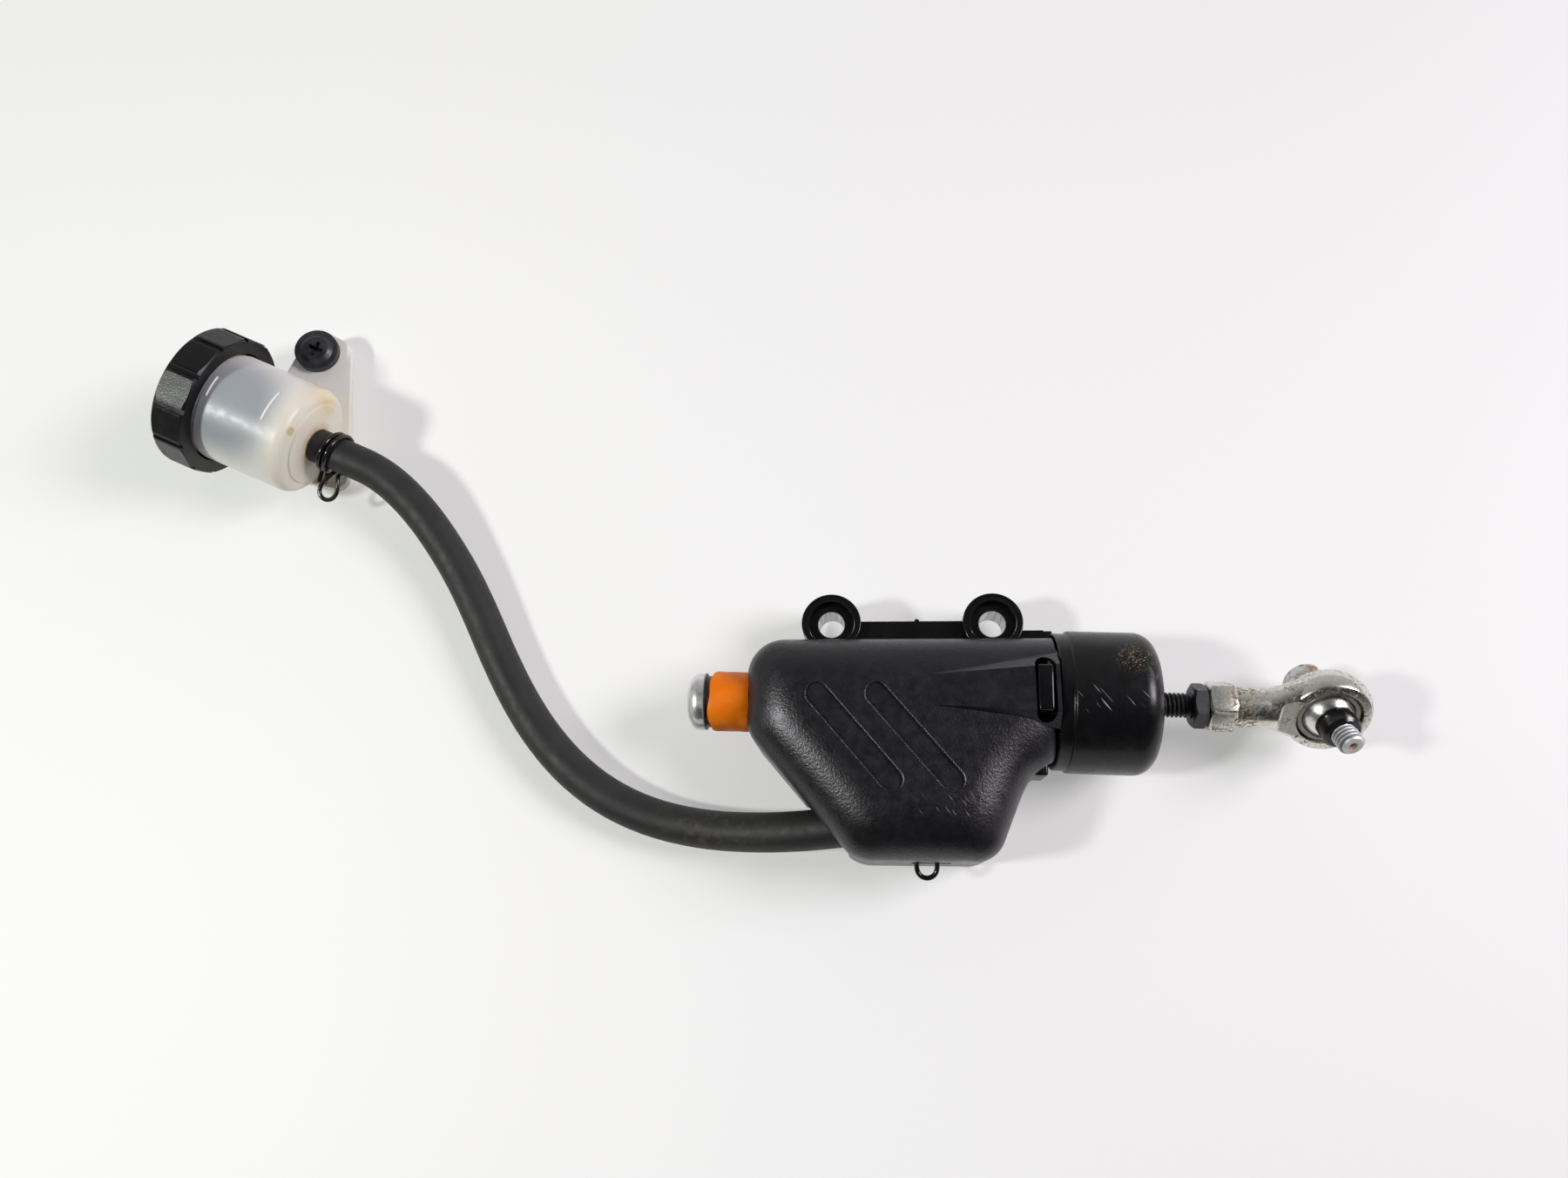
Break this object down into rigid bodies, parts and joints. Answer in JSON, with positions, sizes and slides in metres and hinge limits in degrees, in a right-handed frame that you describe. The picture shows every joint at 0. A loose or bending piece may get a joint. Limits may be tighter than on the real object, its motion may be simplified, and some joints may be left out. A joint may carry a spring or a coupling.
{
  "type": "brake master cylinder",
  "caption": "Rear brake master cylinder under a moulded cover, with a hose to its remote fluid reservoir and a push rod that ends in a ball joint.",
  "frame": {"origin": "midway between the two mounting holes, on the mounting face", "axes": "+X along the cylinder towards the push rod, +Z out of the mounting face through the holes, +Y from the cylinder towards the holes"},
  "size_m": [0.3077, 0.1532, 0.0401],
  "materials": {
    "body_paint": "gloss black coat on cast aluminium",
    "cover_plastic": "fine grained",
    "end_plastic": "smooth",
    "rubber": "matt",
    "sleeve_orange": "satin",
    "bright_steel": "satin",
    "black_wire": "gloss",
    "milky_plastic": "translucent",
    "cap_plastic": "satin",
    "white_plastic": "satin",
    "black_steel": "black oxide",
    "zinc_steel": "zinc plated, speckled with rust",
    "race_steel": "dull",
    "ball_steel": "polished",
    "piston_alloy": "turned",
    "collar_black": "gloss"
  },
  "bodies": {
    "cylinder": {"cylinder_body": "body_paint", "cover": "cover_plastic", "end_cap": "end_plastic", "dust_boot": "rubber", "outlet_plug": "bright_steel", "plug_sleeve": "sleeve_orange", "inlet_elbow": "cap_plastic", "elbow_o_ring": "rubber", "elbow_clip": "bright_steel", "hose": "rubber", "lower_hose_clamp": "black_wire", "upper_hose_clamp": "black_wire", "reservoir": "milky_plastic", "diaphragm": "rubber", "reservoir_screw": "black_steel", "return_spring": "bright_steel", "stop_washer": "bright_steel", "snap_ring": "bright_steel"},
    "piston_stack": {"piston": "piston_alloy", "primary_cup": "rubber", "secondary_cup": "rubber"},
    "push_rod": {"pushrod": "black_steel"},
    "rod_eye": {"rod_end": "zinc_steel", "bearing_race": "race_steel", "lock_nut": "black_steel"},
    "joint_ball": {"ball": "ball_steel"},
    "bolt": {"pivot_bolt": "bright_steel", "bolt_spacer": "collar_black"},
    "cap_ring": {"slip_ring": "white_plastic"},
    "screw_cap": {"reservoir_cap": "cap_plastic"}
  },
  "joints": [
    {"name": "piston_stroke", "type": "slide", "parent": "cylinder", "child": "piston_stack", "axis": [1, 0, 0], "range_m": [-0.009, 0], "stiffness_N_per_m": 1800, "springref_m": 0.01, "deforming": ["return_spring", "dust_boot"]},
    {"name": "push_rod_tilt", "type": "hinge", "parent": "piston_stack", "child": "push_rod", "pos_m": [0.032, -0.02, 0.011], "axis": [0, 0, 1], "range_deg": [-1.3, 4.7], "deforming": ["dust_boot"]},
    {"name": "rod_spin", "type": "hinge", "parent": "push_rod", "child": "rod_eye", "pos_m": [0.09647, -0.02191, 0.011], "axis": [0.9996, -0.0297, 0], "continuous": true},
    {"name": "ball_swivel", "type": "hinge", "parent": "rod_eye", "child": "joint_ball", "pos_m": [0.09647, -0.02191, 0.011], "axis": [0.0191, 0.6425, 0.766], "range_deg": [-22, 4]},
    {"name": "bolt_spin", "type": "hinge", "parent": "joint_ball", "child": "bolt", "pos_m": [0.09647, -0.02191, 0.011], "axis": [0.1339, -0.7609, 0.6349], "continuous": true},
    {"name": "cap_lift", "type": "slide", "parent": "cylinder", "child": "cap_ring", "axis": [-0.9142, 0.3824, 0.134], "range_m": [0, 0.0061]},
    {"name": "cap_turn", "type": "hinge", "parent": "cap_ring", "child": "screw_cap", "pos_m": [-0.1612, 0.0515, 0.01], "axis": [-0.9142, 0.3824, 0.134], "range_deg": [0, 720]}
  ],
  "couplings": [
    {"joint": "cap_lift", "follows": "cap_turn", "m_per_rad": 0.00047746}
  ]
}
